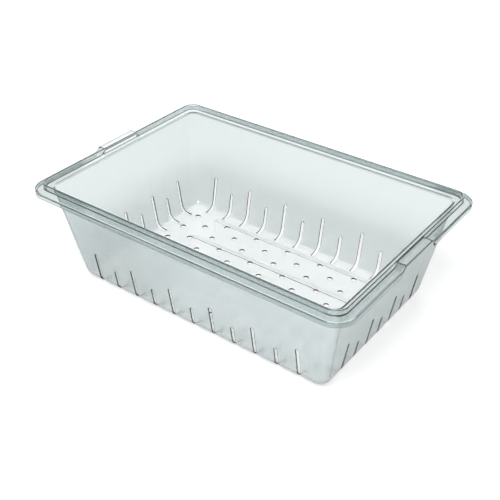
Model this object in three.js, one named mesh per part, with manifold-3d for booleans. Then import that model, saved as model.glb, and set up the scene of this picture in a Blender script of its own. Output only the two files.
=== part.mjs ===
// Clear polycarbonate deli food pan with drain slots and drain holes, 26 x 18 inch size.
// Millimetres, +Z up. The origin is at the middle of the footprint, on the surface it stands on.
// X runs along the long side, Y along the short side, and -Y is the front.
//
// The pan is one moulding. Its model is cut along the moulding's own lines into a floor, foot
// ribs, walls, wall corners, flange, skirt, lid rail and handles, with a small gap at each cut.

import * as THREE from 'three';
import { mergeVertices } from 'three/addons/utils/BufferGeometryUtils.js';
import Module from 'manifold-3d';

const wasm = await Module();
wasm.setup();

// ---- Driving dimensions ----

const panLength = 660;
const panWidth = 457;
const panHeight = 209;
const wallThickness = 3.2;
const gap = 0.3;

// Foot ribs under the floor, which the pan stands on.
const ribHeight = 1.5;
const ribWidth = 8;
const ribLength = 380;
const ribRows = [-134, -59, 59, 134];

// Tub: drafted walls with a round foot and round upright corners.
const draft = Math.tan(THREE.MathUtils.degToRad(9.5));
const tubInset = 28.4;
const tubCornerRadius = 19;
const footRadius = 17;

// Rim: a flat flange with a turned-down skirt, and a raised rail that locates the lid.
const railHeight = 10.5;
const railInset = 16;
const railThickness = 3.4;
const flangeCornerRadius = 38;
const skirtDrop = 10;

// Handles: the flange is raised over the middle of each short side.
const handleRise = 7.5;
const handleLength = 85;
const handleRampRun = 14;

// Drain slots run up the walls from just inside the floor, tall and short in turn.
const slotWidth = 6.35;
const tallSlotTop = 74;
const shortSlotTop = 51.5;
const slotFloorReach = 24;
const longWallSlots = { perSide: 5, pitch: 44.45 };
const shortWallSlots = { perSide: 3, pitch: 39.3 };

// Drain holes stand in a staggered grid in the floor.
const holeDiameter = 10.5;
const holeColumns = 6;
const holeRows = 5;
const holeColumnPitch = 38.1;
const holeRowPitch = 24.5;

// Facets in each quarter turn of a corner and of a foot, and round a drain hole.
const cornerFacets = 6;
const footFacets = 4;
const holeFacets = 10;
const slotEndFacets = 5;

// ---- Worked out from them ----

const halfLength = panLength / 2;
const halfWidth = panWidth / 2;
const floorBottom = ribHeight;
const floorTop = floorBottom + wallThickness;
const flangeTop = panHeight - railHeight;
const flangeBottom = flangeTop - wallThickness;
const skirtBottom = flangeTop - skirtDrop;
const wallAcross = wallThickness * Math.hypot(1, draft);

// Half sizes of the tub's outside where the drafted faces would meet the ground.
const tubFootX = halfLength - tubInset - draft * flangeBottom;
const tubFootY = halfWidth - tubInset - draft * flangeBottom;

// The straight runs of the rim end where its corners start.
const rimCornerX = halfLength - flangeCornerRadius;
const rimCornerY = halfWidth - flangeCornerRadius;
const handleReach = handleLength / 2 + handleRampRun;

// The cutting regions reach past the pan on every side.
const beyond = panLength;
const everywhere = [-beyond, beyond];
const endSigns = { left: -1, right: 1 };
const sideSigns = { front: -1, back: 1 };

// ---- Solids and cuts ----

function solidOf(geometry) {
  const bare = geometry.index ? geometry.toNonIndexed() : geometry.clone();
  bare.deleteAttribute('normal');
  bare.deleteAttribute('uv');
  const merged = mergeVertices(bare);
  return new wasm.Manifold(new wasm.Mesh({
    numProp: 3,
    vertProperties: new Float32Array(merged.attributes.position.array),
    triVerts: new Uint32Array(merged.index.array),
  }));
}

function geometryOf(solid) {
  const mesh = solid.getMesh();
  const geometry = new THREE.BufferGeometry();
  geometry.setAttribute('position', new THREE.BufferAttribute(mesh.vertProperties, 3));
  geometry.setIndex(new THREE.BufferAttribute(mesh.triVerts, 1));
  geometry.computeVertexNormals();
  return geometry;
}

function blockGeometry([lowX, highX], [lowY, highY], [lowZ, highZ]) {
  const geometry = new THREE.BoxGeometry(highX - lowX, highY - lowY, highZ - lowZ);
  return geometry.translate((lowX + highX) / 2, (lowY + highY) / 2, (lowZ + highZ) / 2);
}

function block(spanX, spanY, spanZ = everywhere) {
  return solidOf(blockGeometry(spanX, spanY, spanZ));
}

// The span from a distance on one side of the middle to past the pan on that side.
function outFrom(distance, sign) {
  return sign < 0 ? [-beyond, -distance] : [distance, beyond];
}

// Leans a shape outwards like the walls: each point moves out in proportion to its height.
function addDraft(geometry) {
  const position = geometry.attributes.position;
  for (let i = 0; i < position.count; i += 1) {
    const outward = draft * position.getZ(i);
    position.setX(i, position.getX(i) + Math.sign(position.getX(i)) * outward);
    position.setY(i, position.getY(i) + Math.sign(position.getY(i)) * outward);
  }
  return geometry;
}

function roundedRectangle(halfX, halfY, radius) {
  const x = halfX - radius;
  const y = halfY - radius;
  const quarter = Math.PI / 2;
  const outline = new THREE.Shape();
  outline.absarc(x, -y, radius, -quarter, 0);
  outline.absarc(x, y, radius, 0, quarter);
  outline.absarc(-x, y, radius, quarter, 2 * quarter);
  outline.absarc(-x, -y, radius, 2 * quarter, 3 * quarter);
  return outline;
}

// An upright ring that follows the rim, between two insets from the flange's outer edge.
function rimRing(outerInset, innerInset, innerRadius, [lowZ, highZ]) {
  const outerRadius = flangeCornerRadius - outerInset;
  const shape = roundedRectangle(halfLength - outerInset, halfWidth - outerInset, outerRadius);
  shape.holes.push(roundedRectangle(halfLength - innerInset, halfWidth - innerInset, innerRadius));
  const settings = { depth: highZ - lowZ, bevelEnabled: false, curveSegments: cornerFacets };
  return solidOf(new THREE.ExtrudeGeometry(shape, settings).translate(0, 0, lowZ));
}

// ---- Tub: floor, walls and wall corners ----

// A solid tub shape with drafted sides, upright corners of one radius, and a round foot.
function tubSolid(footX, footY, cornerRadius, roundFoot, bottom) {
  const shape = roundedRectangle(footX - roundFoot, footY - roundFoot, cornerRadius - roundFoot);
  const geometry = new THREE.ExtrudeGeometry(shape, {
    depth: panHeight - bottom - roundFoot,
    bevelThickness: roundFoot,
    bevelSize: roundFoot,
    bevelSegments: footFacets,
    curveSegments: cornerFacets,
  });
  return solidOf(addDraft(geometry.translate(0, 0, bottom + roundFoot)));
}

// A slot for a wall that faces +Y, at the middle of the wall: round at the top and at its floor end.
function slotGeometries(top, floorEnd) {
  const radius = slotWidth / 2;
  const outline = new THREE.Shape();
  outline.moveTo(-radius, -gap);
  outline.lineTo(radius, -gap);
  outline.absarc(0, top - radius, radius, 0, Math.PI);
  const depth = slotFloorReach + tubInset;
  const settings = { depth, bevelEnabled: false, curveSegments: slotEndFacets };
  const upright = new THREE.ExtrudeGeometry(outline, settings);
  upright.rotateX(Math.PI / 2).rotateZ(Math.PI).translate(0, floorEnd + radius, 0);
  const roundEnd = new THREE.CylinderGeometry(radius, radius, footRadius, 2 * slotEndFacets);
  roundEnd.rotateX(Math.PI / 2).translate(0, floorEnd + radius, 0);
  return [upright, roundEnd];
}

function cutSlots(shell, angle, footHalf, slots) {
  const floorEnd = footHalf - slotFloorReach;
  let cut = shell;
  for (let place = -slots.perSide; place <= slots.perSide; place += 1) {
    const tall = place % 2 !== 0;
    for (const geometry of slotGeometries(tall ? tallSlotTop : shortSlotTop, floorEnd)) {
      geometry.translate(place * slots.pitch, 0, 0).rotateZ(angle);
      cut = cut.subtract(solidOf(geometry));
    }
  }
  return cut;
}

function cutHoles(shell) {
  const radius = holeDiameter / 2;
  let cut = shell;
  for (let column = -holeColumns; column <= holeColumns; column += 1) {
    for (let row = -holeRows; row <= holeRows; row += 1) {
      if ((column + row) % 2 === 0) continue;
      const drill = new THREE.CylinderGeometry(radius, radius, footRadius, holeFacets);
      drill.rotateX(Math.PI / 2);
      drill.translate(column * holeColumnPitch, row * holeRowPitch, floorTop);
      cut = cut.subtract(solidOf(drill));
    }
  }
  return cut;
}

function makeTubShell() {
  const outside = tubSolid(tubFootX, tubFootY, tubCornerRadius, footRadius, floorBottom);
  const inside = tubSolid(
    tubFootX - wallAcross,
    tubFootY - wallAcross,
    tubCornerRadius - wallThickness,
    footRadius - wallThickness,
    floorTop,
  );
  let shell = outside.subtract(inside);
  shell = cutSlots(shell, 0, tubFootY, longWallSlots);
  shell = cutSlots(shell, Math.PI, tubFootY, longWallSlots);
  shell = cutSlots(shell, Math.PI / 2, tubFootX, shortWallSlots);
  shell = cutSlots(shell, -Math.PI / 2, tubFootX, shortWallSlots);
  shell = cutHoles(shell);
  return shell.intersect(block(everywhere, everywhere, [0, flangeTop]));
}

// A region with leaning sides, to divide the walls from the wall corners.
function leaningRegion(halfX, halfY) {
  const slab = blockGeometry([-halfX, halfX], [-halfY, halfY], [0, panHeight]);
  return solidOf(addDraft(slab));
}

// ---- Parts ----

const pan = new THREE.Group();

const clearPlastic = {
  color: 0xd3e0dd,
  roughness: 0.12,
  metalness: 0,
  transparent: true,
  opacity: 0.45,
};

function addPart(name, solid) {
  const mesh = new THREE.Mesh(geometryOf(solid), new THREE.MeshStandardMaterial(clearPlastic));
  mesh.name = name;
  pan.add(mesh);
}

// Adds the four quarters of a solid that is left only at the corners.
function addCorners(name, solid) {
  for (const [side, sideSign] of Object.entries(sideSigns)) {
    for (const [end, endSign] of Object.entries(endSigns)) {
      const quarter = block(outFrom(0, endSign), outFrom(0, sideSign));
      addPart(`${name}_${side}_${end}`, solid.intersect(quarter));
    }
  }
}

function addTub() {
  const shell = makeTubShell();
  const floorX = tubFootX - footRadius;
  const floorY = tubFootY - footRadius;
  addPart('floor', shell.intersect(block([-floorX, floorX], [-floorY, floorY])));

  const clearX = floorX + gap;
  const clearY = floorY + gap;
  const sides = shell.subtract(block([-clearX, clearX], [-clearY, clearY]));
  const cornerX = tubFootX - tubCornerRadius;
  const cornerY = tubFootY - tubCornerRadius;
  const longWalls = sides.intersect(leaningRegion(cornerX, beyond));
  const shortWalls = sides.intersect(leaningRegion(beyond, cornerY));
  for (const [side, sign] of Object.entries(sideSigns)) {
    addPart(`wall_${side}`, longWalls.intersect(block(everywhere, outFrom(0, sign))));
  }
  for (const [end, sign] of Object.entries(endSigns)) {
    addPart(`wall_${end}`, shortWalls.intersect(block(outFrom(0, sign), everywhere)));
  }
  const corners = sides
    .subtract(leaningRegion(cornerX + gap, beyond))
    .subtract(leaningRegion(beyond, cornerY + gap));
  addCorners('wall_corner', corners);
}

function addFootRibs() {
  const spanX = [-ribLength / 2, ribLength / 2];
  ribRows.forEach((row, index) => {
    const spanY = [row - ribWidth / 2, row + ribWidth / 2];
    addPart(`foot_rib_${index + 1}`, block(spanX, spanY, [0, ribHeight - gap]));
  });
}

// Cuts a ring that follows the rim into its straight runs and its corners. Each end run is
// left out over the handle, as far as clearance to each side of the middle.
function addRimPieces(name, ring, clearance) {
  const runX = rimCornerX - gap;
  const runY = rimCornerY - gap;
  for (const [side, sign] of Object.entries(sideSigns)) {
    addPart(`${name}_${side}`, ring.intersect(block([-runX, runX], outFrom(0, sign))));
  }
  for (const [end, sign] of Object.entries(endSigns)) {
    const run = ring.intersect(block(outFrom(0, sign), [-runY, runY]));
    if (clearance === 0) {
      addPart(`${name}_${end}`, run);
      continue;
    }
    for (const [side, sideSign] of Object.entries(sideSigns)) {
      const half = block(everywhere, outFrom(clearance, sideSign));
      addPart(`${name}_${end}_${side}`, run.intersect(half));
    }
  }
  const corners = ring
    .subtract(block([-rimCornerX, rimCornerX], everywhere))
    .subtract(block(everywhere, [-rimCornerY, rimCornerY]));
  addCorners(`${name}_corner`, corners);
}

function addRim() {
  const handleClearance = handleReach + gap;
  const skirtRadius = flangeCornerRadius - wallThickness;
  const skirt = rimRing(0, wallThickness, skirtRadius, [skirtBottom, flangeTop]);
  addRimPieces('skirt', skirt, handleClearance);

  // The flange reaches from the skirt to the tub, which leans out to meet it at the top.
  const flangeOuter = wallThickness + gap;
  const flangeInner = tubInset - draft * wallThickness - gap;
  const flangeRadius = tubCornerRadius + gap;
  const flange = rimRing(flangeOuter, flangeInner, flangeRadius, [flangeBottom, flangeTop]);
  addRimPieces('flange', flange, handleClearance);

  const innerInset = railInset + railThickness;
  const innerRadius = flangeCornerRadius - innerInset;
  const rail = rimRing(railInset, innerInset, innerRadius, [flangeTop + gap, panHeight]);
  addRimPieces('rail', rail, 0);

  // The part of the flange that stays level inside each handle.
  const besideHandle = [-handleReach, handleReach];
  const railX = halfLength - railInset;
  const ledges = flange.intersect(block([-railX, railX], besideHandle));
  for (const [end, sign] of Object.entries(endSigns)) {
    addPart(`ledge_${end}`, ledges.intersect(block(outFrom(0, sign), everywhere)));
  }
}

// The side view of a handle: a level plate with a ramp down to the flange at each end.
function handleOutline() {
  const flat = handleLength / 2;
  const top = flangeTop + handleRise;
  const outline = new THREE.Shape();
  outline.moveTo(-handleReach, flangeBottom);
  outline.lineTo(-flat, top - wallThickness);
  outline.lineTo(flat, top - wallThickness);
  outline.lineTo(handleReach, flangeBottom);
  outline.lineTo(handleReach, flangeTop);
  outline.lineTo(flat, top);
  outline.lineTo(-flat, top);
  outline.lineTo(-handleReach, flangeTop);
  outline.closePath();
  return outline;
}

function addHandles() {
  const depth = railInset - gap;
  for (const [end, sign] of Object.entries(endSigns)) {
    const geometry = new THREE.ExtrudeGeometry(handleOutline(), { depth, bevelEnabled: false });
    geometry.rotateX(Math.PI / 2).rotateZ(Math.PI / 2);
    geometry.translate(sign * (halfLength - depth / 2) - depth / 2, 0, 0);
    addPart(`handle_${end}`, solidOf(geometry));
  }
}

addTub();
addFootRibs();
addRim();
addHandles();

export default pan;
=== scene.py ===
"""Clear polycarbonate drain pan for deli food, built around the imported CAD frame.

The pan is one injection moulding, so one continuous mesh stands for all of its CAD regions.
Lengths are in metres unless a name ends in _mm.
"""

import math

import bmesh
import bpy
from mathutils import Matrix, Vector


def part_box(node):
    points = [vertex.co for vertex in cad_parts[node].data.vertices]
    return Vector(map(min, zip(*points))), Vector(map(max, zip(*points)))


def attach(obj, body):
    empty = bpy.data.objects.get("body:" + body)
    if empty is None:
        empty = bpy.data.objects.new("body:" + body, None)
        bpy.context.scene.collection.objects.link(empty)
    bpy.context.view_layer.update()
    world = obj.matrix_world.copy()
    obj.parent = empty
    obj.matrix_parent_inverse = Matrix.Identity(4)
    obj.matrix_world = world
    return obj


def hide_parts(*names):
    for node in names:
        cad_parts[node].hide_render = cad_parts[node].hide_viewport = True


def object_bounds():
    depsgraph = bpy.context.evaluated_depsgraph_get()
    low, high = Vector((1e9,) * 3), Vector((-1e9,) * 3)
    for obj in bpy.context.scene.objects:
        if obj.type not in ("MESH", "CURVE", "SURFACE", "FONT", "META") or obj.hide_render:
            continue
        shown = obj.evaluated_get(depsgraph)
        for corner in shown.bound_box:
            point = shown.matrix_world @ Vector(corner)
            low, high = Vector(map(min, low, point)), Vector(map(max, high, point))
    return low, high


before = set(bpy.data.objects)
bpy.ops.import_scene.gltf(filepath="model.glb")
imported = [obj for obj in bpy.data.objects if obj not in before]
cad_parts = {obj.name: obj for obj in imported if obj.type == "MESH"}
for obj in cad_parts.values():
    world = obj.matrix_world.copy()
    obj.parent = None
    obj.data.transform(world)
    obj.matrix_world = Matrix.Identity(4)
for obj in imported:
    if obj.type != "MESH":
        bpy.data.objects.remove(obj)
cad_low, cad_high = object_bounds()

MM = 0.001

# ---- Sizes read from the frame ----

HALF_X = (cad_high.x - cad_low.x) / 2
HALF_Y = (cad_high.y - cad_low.y) / 2
PAN_TOP = cad_high.z
FLANGE_LOW, FLANGE_HIGH = (corner.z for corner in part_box("flange_front"))
SKIRT_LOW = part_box("skirt_front")[0].z
FLOOR_LOW, FLOOR_HIGH = (corner.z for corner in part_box("floor"))
RAIL_OUT = HALF_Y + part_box("rail_front")[0].y
RAIL_IN = HALF_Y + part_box("rail_front")[1].y
WALL = FLOOR_HIGH - FLOOR_LOW
HANDLE_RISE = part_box("handle_right")[1].z - FLANGE_HIGH
HANDLE_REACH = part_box("handle_right")[1].y

# ---- Sizes of the moulding that the frame's boxes don't give ----

DRAFT = math.tan(math.radians(9.5))
TUB_INSET = 28.4 * MM
TUB_CORNER = 19 * MM
FOOT_OUT = 17 * MM
FLANGE_CORNER = 38 * MM
HANDLE_FLAT = 42.5 * MM
EDGE_ROUND = 1.2 * MM
INNER_EDGE_ROUND = 3.0 * MM
FILLET = 0.9 * MM
CUT_EDGE_ROUND = 0.6 * MM
CUT_EDGE_ANGLE = math.radians(40)
SHARP_ANGLE = math.radians(35)
RAIL_ROUND_SHARE = 0.42
HANDLE_SKIRT_SHARE = 0.12

SLOT_WIDTH = 6.35 * MM
TALL_SLOT_TOP = 74 * MM
SHORT_SLOT_TOP = 51.5 * MM
SLOT_FLOOR_REACH = 24 * MM
LONG_WALL_SLOTS = (5, 44.45 * MM)
SHORT_WALL_SLOTS = (3, 39.3 * MM)

HOLE_RADIUS = 5.25 * MM
HOLE_LIP = 0.7 * MM
HOLE_COLUMNS, HOLE_COLUMN_PITCH = 6, 38.1 * MM
HOLE_ROWS, HOLE_ROW_PITCH = 5, 24.5 * MM

WALL_ACROSS = WALL * math.hypot(1, DRAFT)
FOOT_IN = FOOT_OUT - WALL
TUB_X = HALF_X - TUB_INSET - DRAFT * FLANGE_LOW
TUB_Y = HALF_Y - TUB_INSET - DRAFT * FLANGE_LOW

TUB_STATION_SHIFT = 5 * MM
LIFT_STEP = 0.3 * MM
RAMP_STEPS = 10
RAMP_END_GAP = 0.01 * MM
RAMP_OUTER_GAP = 0.4 * MM
CORNER_STEPS = 14
ROUND_STEPS = 10
SMALL_ROUND_STEPS = 6
BEVEL_STEPS = 3
HOLE_SIDES = 32
SLOT_ARCH_STEPS = 16
CUTTER_CLEARANCE = 0.02 * MM
WELD_DISTANCE = 0.005 * MM
NEAR_HOLE_MARGIN = 0.1 * MM


# ---- Rings: level rounded rectangles that the surface is stretched over ----


def tub_ring(z, thickness_across, inward, corner):
    """A ring on the drafted tub: half sizes at this height, less an inward distance."""
    lean = DRAFT * z - thickness_across - inward
    return {"x": TUB_X + lean, "y": TUB_Y + lean, "corner": corner, "z": z, "zone": "tub"}


def rim_ring(inset, z, zone):
    """A ring on the rim, at an inset from the flange's outer edge."""
    tub_start = TUB_INSET + WALL_ACROSS
    rail_corner = FLANGE_CORNER - RAIL_IN
    if inset <= RAIL_IN:
        corner = FLANGE_CORNER - inset
    else:
        share = (inset - RAIL_IN) / (tub_start - RAIL_IN)
        corner = rail_corner + share * (TUB_CORNER - WALL - rail_corner)
    return {"x": HALF_X - inset, "y": HALF_Y - inset, "corner": corner, "z": z, "zone": zone}


def quarter(steps=ROUND_STEPS):
    """(sine, 1 - cosine) pairs along a quarter turn."""
    turns = [math.pi / 2 * step / steps for step in range(steps + 1)]
    return [(math.sin(turn), 1 - math.cos(turn)) for turn in turns]


def foot_rings(bottom, radius, thickness_across, corner):
    """The round foot of the tub, from its flat floor up to the wall."""
    rings = []
    for across, up in quarter():
        inward = radius * (1 - across)
        rings.append(
            tub_ring(bottom + radius * up, thickness_across, inward, corner - inward)
        )
    return rings


def surface_rings():
    """All the rings in order: out under the floor, up outside, over the rim, down inside."""
    rings = foot_rings(FLOOR_LOW, FOOT_OUT, 0, TUB_CORNER)
    rings.append(tub_ring(FLANGE_LOW - FILLET, 0, 0, TUB_CORNER))

    # Under the flange, with a step up at the rail where the handle is lifted.
    under = FLANGE_LOW
    tub_top = rim_ring(TUB_INSET - FILLET, under, "ledge")
    rings.append({**tub_top, "corner": TUB_CORNER + FILLET})
    rings.append(rim_ring(RAIL_OUT + LIFT_STEP, under, "ledge"))
    rings.append(rim_ring(RAIL_OUT, under, "lifted"))
    rings.append(rim_ring(WALL + FILLET, under, "lifted"))

    # Skirt.
    rings.append(rim_ring(WALL, under - FILLET, "skirt"))
    rings.append(rim_ring(WALL, SKIRT_LOW + FILLET, "skirt"))
    rings.append(rim_ring(WALL - FILLET, SKIRT_LOW, "skirt"))
    rings.append(rim_ring(FILLET, SKIRT_LOW, "skirt"))
    rings.append(rim_ring(0, SKIRT_LOW + FILLET, "skirt"))

    # Rounded outer edge and flange top.
    for across, up in quarter(SMALL_ROUND_STEPS):
        height = FLANGE_HIGH - EDGE_ROUND * (1 - across)
        rings.append(rim_ring(EDGE_ROUND * up, height, "lifted"))
    rings.append(rim_ring(RAIL_OUT - FILLET, FLANGE_HIGH, "lifted"))
    rings.append(rim_ring(RAIL_OUT, FLANGE_HIGH + FILLET, "rail_foot"))

    # Rail with a nearly half-round top.
    rail_round = (RAIL_IN - RAIL_OUT) * RAIL_ROUND_SHARE
    for across, up in quarter(SMALL_ROUND_STEPS):
        height = PAN_TOP - rail_round * (1 - across)
        rings.append(rim_ring(RAIL_OUT + rail_round * up, height, "rail"))
    for across, up in reversed(quarter(SMALL_ROUND_STEPS)):
        height = PAN_TOP - rail_round * (1 - across)
        rings.append(rim_ring(RAIL_IN - rail_round * up, height, "rail"))
    rings.append(rim_ring(RAIL_IN, FLANGE_HIGH + FILLET, "rail"))

    # Ledge and the rounded edge down to the wall.
    rings.append(rim_ring(RAIL_IN + FILLET, FLANGE_HIGH, "ledge"))
    tub_start = TUB_INSET + WALL_ACROSS
    for across, up in quarter(SMALL_ROUND_STEPS):
        inset = tub_start - INNER_EDGE_ROUND * (1 - across)
        rings.append(rim_ring(inset, FLANGE_HIGH - INNER_EDGE_ROUND * up, "ledge"))

    inside = foot_rings(FLOOR_HIGH, FOOT_IN, WALL_ACROSS, TUB_CORNER - WALL)
    rings.extend(reversed(inside))
    return rings


# ---- Around a ring ----


def handle_lift(y):
    """How far the flange is raised at y on a short side, from 0 to 1."""
    share = (HANDLE_REACH - abs(y)) / (HANDLE_REACH - HANDLE_FLAT)
    share = min(max(share, 0), 1)
    return share * share * (3 - 2 * share)


def skirt_share(y):
    """How much of the skirt's depth is left at y on a short side: little at the handle."""
    return HANDLE_SKIRT_SHARE if abs(y) < HANDLE_REACH else 1


def side_stations(ring):
    """Y positions of the extra points on a short side, dense on the handle's ramps."""
    run = HANDLE_REACH - RAMP_END_GAP - HANDLE_FLAT
    ramp = [HANDLE_FLAT + run * step / RAMP_STEPS for step in range(RAMP_STEPS + 1)]
    half = ramp + [HANDLE_REACH + RAMP_OUTER_GAP]
    if ring["zone"] == "tub":
        half = [y + TUB_STATION_SHIFT for y in half]
    return [-y for y in reversed(half)] + half


def ring_points(ring):
    """The ring's points, starting on the right-hand side and going round by the back."""
    x = ring["x"] - ring["corner"]
    y = ring["y"] - ring["corner"]
    points = []

    def add_side(sign):
        for station in side_stations(ring):
            height = side_height(ring, station)
            points.append(Vector((sign * ring["x"], sign * station, height)))

    def add_corner(centre_x, centre_y, start):
        for step in range(CORNER_STEPS + 1):
            turn = start + math.pi / 2 * step / CORNER_STEPS
            out = Vector((math.cos(turn), math.sin(turn), 0)) * ring["corner"]
            points.append(Vector((centre_x, centre_y, ring["z"])) + out)

    add_side(1)
    add_corner(x, y, 0)
    add_corner(-x, y, math.pi / 2)
    add_side(-1)
    add_corner(-x, -y, math.pi)
    add_corner(x, -y, 3 * math.pi / 2)
    return points


def side_height(ring, y):
    """The height of a ring's point on a short side, where the handle lifts the flange."""
    lift = HANDLE_RISE * handle_lift(y)
    if ring["zone"] == "lifted" or ring["zone"] == "rail_foot":
        return ring["z"] + lift
    if ring["zone"] == "skirt":
        return FLANGE_LOW + lift - (FLANGE_LOW - ring["z"]) * skirt_share(y)
    return ring["z"]


def new_object(name, mesh):
    made = bpy.data.objects.new(name, mesh)
    bpy.context.scene.collection.objects.link(made)
    return made


def mesh_from(name, fill):
    """A mesh that fill(bm) makes in a bmesh, with its faces turned outwards."""
    bm = bmesh.new()
    fill(bm)
    bmesh.ops.recalc_face_normals(bm, faces=bm.faces)
    mesh = bpy.data.meshes.new(name)
    bm.to_mesh(mesh)
    bm.free()
    return mesh


def fill_shell(bm):
    rows = [[bm.verts.new(point) for point in ring_points(ring)] for ring in surface_rings()]
    for row, following in zip(rows, rows[1:]):
        count = len(row)
        for here in range(count):
            there = (here + 1) % count
            bm.faces.new((row[here], row[there], following[there], following[here]))
    bm.faces.new(list(reversed(rows[0])))
    bm.faces.new(rows[-1])


# ---- Cutters and ribs ----


def add_prism(bm, outline, low, high):
    """A closed prism over a level outline of (x, y) points."""
    bottom = [bm.verts.new((x, y, low)) for x, y in outline]
    top = [bm.verts.new((x, y, high)) for x, y in outline]
    count = len(outline)
    for here in range(count):
        there = (here + 1) % count
        bm.faces.new((bottom[here], bottom[there], top[there], top[here]))
    bm.faces.new(list(reversed(bottom)))
    bm.faces.new(top)
    return bottom + top


def circle(radius, steps):
    turns = [2 * math.pi * step / steps for step in range(steps)]
    return [(radius * math.cos(turn), radius * math.sin(turn)) for turn in turns]


def add_stack(bm, outlines):
    """A closed solid lofted over level outlines of (x, y, z) points, lowest first."""
    rows = [[bm.verts.new(point) for point in outline] for outline in outlines]
    count = len(rows[0])
    for row, following in zip(rows, rows[1:]):
        for here in range(count):
            there = (here + 1) % count
            bm.faces.new((row[here], row[there], following[there], following[here]))
    bm.faces.new(list(reversed(rows[0])))
    bm.faces.new(rows[-1])


def hole_profile():
    """(radius, height) pairs up a hole whose two lips are rounded."""
    flares = [
        (HOLE_RADIUS + HOLE_LIP * back, FLOOR_HIGH + CUTTER_CLEARANCE - HOLE_LIP * (1 - across))
        for across, back in quarter(SMALL_ROUND_STEPS)
    ]
    flares.append((flares[-1][0], FLOOR_HIGH + WALL))
    middle = (FLOOR_LOW + FLOOR_HIGH) / 2
    return [(radius, 2 * middle - height) for radius, height in reversed(flares)] + flares


def fill_hole_cutters(bm):
    for x, y in hole_places():
        add_stack(
            bm,
            [
                [(x + dx, y + dy, height) for dx, dy in circle(radius, HOLE_SIDES)]
                for radius, height in hole_profile()
            ],
        )


def slot_outline(top):
    """A slot seen square on to its wall, as (along, up) points: round at the top."""
    radius = SLOT_WIDTH / 2
    centre = top - radius
    turns = [math.pi * step / SLOT_ARCH_STEPS for step in range(SLOT_ARCH_STEPS + 1)]
    arch = [(radius * math.cos(turn), centre + radius * math.sin(turn)) for turn in turns]
    return [(-radius, -WALL), (radius, -WALL)] + arch


def fill_wall_slot_cutters(bm, foot_half, slots, turn):
    """Slot cutters for one wall, which faces +Y until it is turned."""
    per_side, pitch = slots
    inner = foot_half - SLOT_FLOOR_REACH
    for place in range(-per_side, per_side + 1):
        top = TALL_SLOT_TOP if place % 2 else SHORT_SLOT_TOP
        verts = add_prism(bm, slot_outline(top), inner, foot_half + 2 * TUB_INSET)
        # The prism's outline stands upright, and its length runs outwards along +Y.
        stand = Matrix(((1, 0, 0), (0, 0, 1), (0, 1, 0)))
        for vert in verts:
            vert.co = stand @ vert.co
            vert.co.x += place * pitch
            vert.co.rotate(Matrix.Rotation(turn, 3, "Z"))


def fill_slot_cutters(bm):
    for turn in (0, math.pi):
        fill_wall_slot_cutters(bm, TUB_Y, LONG_WALL_SLOTS, turn)
    for turn in (math.pi / 2, -math.pi / 2):
        fill_wall_slot_cutters(bm, TUB_X, SHORT_WALL_SLOTS, turn)


def hole_places():
    return [
        (column * HOLE_COLUMN_PITCH, row * HOLE_ROW_PITCH)
        for column in range(-HOLE_COLUMNS, HOLE_COLUMNS + 1)
        for row in range(-HOLE_ROWS, HOLE_ROWS + 1)
        if (column + row) % 2
    ]


def fill_ribs(bm):
    for number in range(1, 5):
        low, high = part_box(f"foot_rib_{number}")
        outline = [(low.x, low.y), (high.x, low.y), (high.x, high.y), (low.x, high.y)]
        add_prism(bm, outline, low.z, FLOOR_LOW + WALL / 4)


def apply_boolean(target, fill, operation):
    tool = new_object("tool", mesh_from("tool", fill))
    modifier = target.modifiers.new("boolean", "BOOLEAN")
    modifier.operation = operation
    modifier.solver = "MANIFOLD"
    modifier.object = tool
    graph = bpy.context.evaluated_depsgraph_get()
    done = bpy.data.meshes.new_from_object(target.evaluated_get(graph))
    target.modifiers.clear()
    target.data = done
    bpy.data.objects.remove(tool)


def near_hole(edge):
    """Whether an edge lies on the lips of a hole."""
    middle = (edge.verts[0].co + edge.verts[1].co) / 2
    column, row = round(middle.x / HOLE_COLUMN_PITCH), round(middle.y / HOLE_ROW_PITCH)
    off = math.hypot(middle.x - column * HOLE_COLUMN_PITCH, middle.y - row * HOLE_ROW_PITCH)
    return off < HOLE_RADIUS + HOLE_LIP + NEAR_HOLE_MARGIN


def round_cut_edges(mesh):
    """Rounds the sharp edges that the slots and ribs leave on the tub; edges on the holes' lips
    are left alone, as the hole cutters already round them.
    """
    bm = bmesh.new()
    bm.from_mesh(mesh)
    bmesh.ops.remove_doubles(bm, verts=bm.verts, dist=WELD_DISTANCE)
    sharp = [
        edge
        for edge in bm.edges
        if edge.is_manifold
        and edge.calc_face_angle(0) > CUT_EDGE_ANGLE
        and max(vert.co.z for vert in edge.verts) < TALL_SLOT_TOP + WALL
        and not near_hole(edge)
    ]
    bmesh.ops.bevel(
        bm,
        geom=sharp,
        offset=CUT_EDGE_ROUND,
        segments=BEVEL_STEPS,
        profile=0.5,
        affect="EDGES",
        clamp_overlap=False,
    )
    bm.to_mesh(mesh)
    bm.free()


# Places on the painted shade ramp: grey painted shade for the outer walls, under the flange and on
# its skirt, and dark painted lines for the rounded edges.
PAINTED_GREY_SHADE, PAINTED_DARK_LINE = 0.5, 1.0
EDGE_FACES_UP = (0.2, 0.96)
FACES_OUT = 0.5
FACES_DOWN = 0.3


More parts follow.
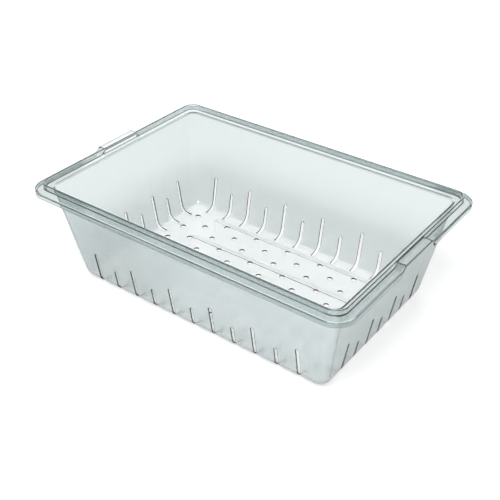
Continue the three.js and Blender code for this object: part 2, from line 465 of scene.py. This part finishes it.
def mark_faces(mesh):
    """Marks the frosted outer faces of the walls, and paints shade into each face's colour: grey
    painted shade on the outer walls, under the flange and on its skirt, and dark painted lines on
    the rounded edges that face partly up.
    """
    frosted = mesh.attributes.new("frosted", "FLOAT", "FACE")
    painted_shade = mesh.attributes.new("painted_shade", "FLOAT", "FACE")
    for face in mesh.polygons:
        centre, normal = face.center, face.normal
        side_x, side_y = math.copysign(1, centre.x), math.copysign(1, centre.y)
        faces_out = normal.x * side_x + normal.y * side_y > FACES_OUT
        inset = min(HALF_X - abs(centre.x), HALF_Y - abs(centre.y))
        on_rail = inset > RAIL_OUT and centre.z > FLANGE_HIGH
        under_rim = inset < TUB_INSET - FILLET and normal.z < FACES_DOWN and not on_rail
        on_wall = faces_out and not under_rim and FLOOR_HIGH < centre.z < FLANGE_LOW
        on_edge = inset < EDGE_ROUND or RAIL_OUT - FILLET < inset < RAIL_OUT
        frosted.data[face.index].value = 1.0 if on_wall else 0.0
        # Upward-facing faces of the rounded outer edge and the rail foot are painted nearly black:
        # a painted dark line standing in for the dark surroundings that their rounding refracts.
        if on_edge and EDGE_FACES_UP[0] < normal.z < EDGE_FACES_UP[1]:
            painted_shade.data[face.index].value = PAINTED_DARK_LINE
        # Outer walls and faces under the flange and on its skirt get grey painted shade, which
        # darkens what is seen through them.
        elif on_wall or under_rim:
            painted_shade.data[face.index].value = PAINTED_GREY_SHADE


def make_pan():
    pan = new_object("pan", mesh_from("pan", fill_shell))
    apply_boolean(pan, fill_ribs, "UNION")
    apply_boolean(pan, fill_hole_cutters, "DIFFERENCE")
    apply_boolean(pan, fill_slot_cutters, "DIFFERENCE")
    round_cut_edges(pan.data)
    mark_faces(pan.data)
    pan.data.shade_smooth()
    pan.data.set_sharp_from_angle(angle=SHARP_ANGLE)
    weighted = pan.modifiers.new("weighted normals", "WEIGHTED_NORMAL")
    weighted.keep_sharp = True
    weighted.weight = 100
    return pan


# ---- Material ----

POLISHED_ROUGHNESS = (0.015, 0.06)
FROSTED_ROUGHNESS = (0.22, 0.27)
CLEAR_TINT = (0.985, 0.995, 0.995, 1)
# Grey painted shade colour for the outer walls, under the flange and on its skirt.
PAINTED_GREY_SHADE_COLOUR = (0.65, 0.72, 0.72, 1)
# Near black for the painted dark edge lines.
PAINTED_DARK_LINE_COLOUR = (0.12, 0.15, 0.15, 1)
BODY_COLOUR = (0.16, 0.30, 0.295, 1)
BODY_DENSITY = 32.0
REFRACTIVE_INDEX = 1.585
NOISE_MIDDLE = (0.3, 0.7)
HAZE_SCALE, HAZE_DETAIL = 45, 6
RIPPLE_SCALE, RIPPLE_DETAIL = 9, 2
RIPPLE_STRENGTH, RIPPLE_HEIGHT = 0.12, 0.6 * MM


def ranged(nodes, links, source, low, high):
    """A Map Range node that spreads a noise's middle values from low to high."""
    spread = nodes.new("ShaderNodeMapRange")
    spread.inputs["From Min"].default_value, spread.inputs["From Max"].default_value = NOISE_MIDDLE
    spread.inputs["To Min"].default_value = low
    spread.inputs["To Max"].default_value = high
    links.new(source, spread.inputs["Value"])
    return spread.outputs["Result"]


def clear_plastic():
    """Clear polycarbonate: polished but for the frosted outer walls, with a grey-green body, grey
    painted shade on the outer walls, under the flange and on its skirt, and dark painted lines on
    the rounded edges.
    """
    material = bpy.data.materials.new("clear_polycarbonate")
    material.use_nodes = True
    nodes = material.node_tree.nodes
    links = material.node_tree.links
    shader = nodes["Principled BSDF"]
    output = nodes["Material Output"]
    shader.inputs["Transmission Weight"].default_value = 1.0
    shader.inputs["IOR"].default_value = REFRACTIVE_INDEX

    body = nodes.new("ShaderNodeVolumeAbsorption")
    body.inputs["Color"].default_value = BODY_COLOUR
    body.inputs["Density"].default_value = BODY_DENSITY
    links.new(body.outputs["Volume"], output.inputs["Volume"])

    place = nodes.new("ShaderNodeTexCoord").outputs["Object"]
    haze = nodes.new("ShaderNodeTexNoise")
    haze.inputs["Scale"].default_value = HAZE_SCALE
    haze.inputs["Detail"].default_value = HAZE_DETAIL
    links.new(place, haze.inputs["Vector"])

    frosted = nodes.new("ShaderNodeAttribute")
    frosted.attribute_name = "frosted"
    roughness = nodes.new("ShaderNodeMix")
    links.new(frosted.outputs["Fac"], roughness.inputs["Factor"])
    noise = haze.outputs["Fac"]
    links.new(ranged(nodes, links, noise, *POLISHED_ROUGHNESS), roughness.inputs["A"])
    links.new(ranged(nodes, links, noise, *FROSTED_ROUGHNESS), roughness.inputs["B"])
    links.new(roughness.outputs["Result"], shader.inputs["Roughness"])

    # Painted shade ramp: clear, then grey painted shade, then dark painted edge lines.
    painted_shade = nodes.new("ShaderNodeAttribute")
    painted_shade.attribute_name = "painted_shade"
    painted_shade_ramp = nodes.new("ShaderNodeValToRGB")
    links.new(painted_shade.outputs["Fac"], painted_shade_ramp.inputs["Fac"])
    painted_shade_ramp.color_ramp.elements[0].color = CLEAR_TINT
    painted_shade_ramp.color_ramp.elements[1].color = PAINTED_DARK_LINE_COLOUR
    painted_shade_ramp.color_ramp.elements.new(PAINTED_GREY_SHADE).color = PAINTED_GREY_SHADE_COLOUR
    links.new(painted_shade_ramp.outputs["Color"], shader.inputs["Base Color"])

    ripple = nodes.new("ShaderNodeTexNoise")
    ripple.inputs["Scale"].default_value = RIPPLE_SCALE
    ripple.inputs["Detail"].default_value = RIPPLE_DETAIL
    links.new(place, ripple.inputs["Vector"])
    bump = nodes.new("ShaderNodeBump")
    bump.inputs["Strength"].default_value = RIPPLE_STRENGTH
    bump.inputs["Distance"].default_value = RIPPLE_HEIGHT
    links.new(ripple.outputs["Fac"], bump.inputs["Height"])
    links.new(bump.outputs["Normal"], shader.inputs["Normal"])
    return material


# ---- Stage ----

AZIMUTH = math.radians(36.22)
ELEVATION = math.radians(34.07)
ROLL = math.radians(0.40)
DISTANCE = 1.6113
TARGET = Vector((-0.0025, 0, 0.076))
LENS_MM = 62.83

TABLE_HALF_SIZE = 12
TABLE_GAP = 0.6 * MM
TABLE_GREY, TABLE_ROUGHNESS, TABLE_GLOW = 0.8, 0.9, 0.64
WORLD_COLOUR, WORLD_STRENGTH = (0.55, 0.56, 0.57, 1), 0.22
LIGHT_SIZE = (1.6, 1.6)
LIGHT_AIM = Vector((0, 0, 0.1))
KEY_PLACE, KEY_WATTS = (0.63, -1.36, 2.6), 56
WINDOW_PLACE, WINDOW_WATTS = (-1.2, 1.7, 1.5), 12


def add_camera():
    back = Vector(
        (
            math.sin(AZIMUTH) * math.cos(ELEVATION),
            -math.cos(AZIMUTH) * math.cos(ELEVATION),
            math.sin(ELEVATION),
        )
    )
    level = (-back).cross(Vector((0, 0, 1))).normalized()
    upright = level.cross(-back)
    right = level * math.cos(ROLL) + upright * math.sin(ROLL)
    up = upright * math.cos(ROLL) - level * math.sin(ROLL)
    lens = bpy.data.cameras.new("camera")
    lens.lens = LENS_MM
    camera = new_object("camera", lens)
    turn = Matrix((right, up, back)).transposed()
    camera.matrix_world = Matrix.Translation(TARGET + back * DISTANCE) @ turn.to_4x4()
    bpy.context.scene.camera = camera


def add_area_light(name, place, watts):
    data = bpy.data.lights.new(name, "AREA")
    data.shape = "RECTANGLE"
    data.size, data.size_y = LIGHT_SIZE
    data.energy = watts
    light = new_object(name, data)
    light.location = place
    light.rotation_euler = (LIGHT_AIM - Vector(place)).to_track_quat("-Z", "Y").to_euler()


def add_floor():
    """A plain white light table."""
    def fill(bm):
        bmesh.ops.create_grid(bm, x_segments=1, y_segments=1, size=TABLE_HALF_SIZE)

    floor = new_object("stage", mesh_from("stage", fill))
    floor.location.z = -TABLE_GAP
    material = bpy.data.materials.new("white_table")
    material.use_nodes = True
    shader = material.node_tree.nodes["Principled BSDF"]
    shader.inputs["Base Color"].default_value = (TABLE_GREY, TABLE_GREY, TABLE_GREY, 1)
    shader.inputs["Roughness"].default_value = TABLE_ROUGHNESS
    shader.inputs["Emission Color"].default_value = (1, 1, 1, 1)
    shader.inputs["Emission Strength"].default_value = TABLE_GLOW
    floor.data.materials.append(material)


def set_world():
    world = bpy.data.worlds.new("studio")
    bpy.context.scene.world = world
    world.use_nodes = True
    background = world.node_tree.nodes["Background"]
    background.inputs["Color"].default_value = WORLD_COLOUR
    background.inputs["Strength"].default_value = WORLD_STRENGTH


pan = make_pan()
pan.data.materials.clear()
pan.data.materials.append(clear_plastic())
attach(pan, "root")
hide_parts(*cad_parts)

add_floor()
set_world()
add_area_light("key", KEY_PLACE, KEY_WATTS)
add_area_light("window", WINDOW_PLACE, WINDOW_WATTS)
add_camera()
bpy.context.scene.view_settings.view_transform = "Standard"
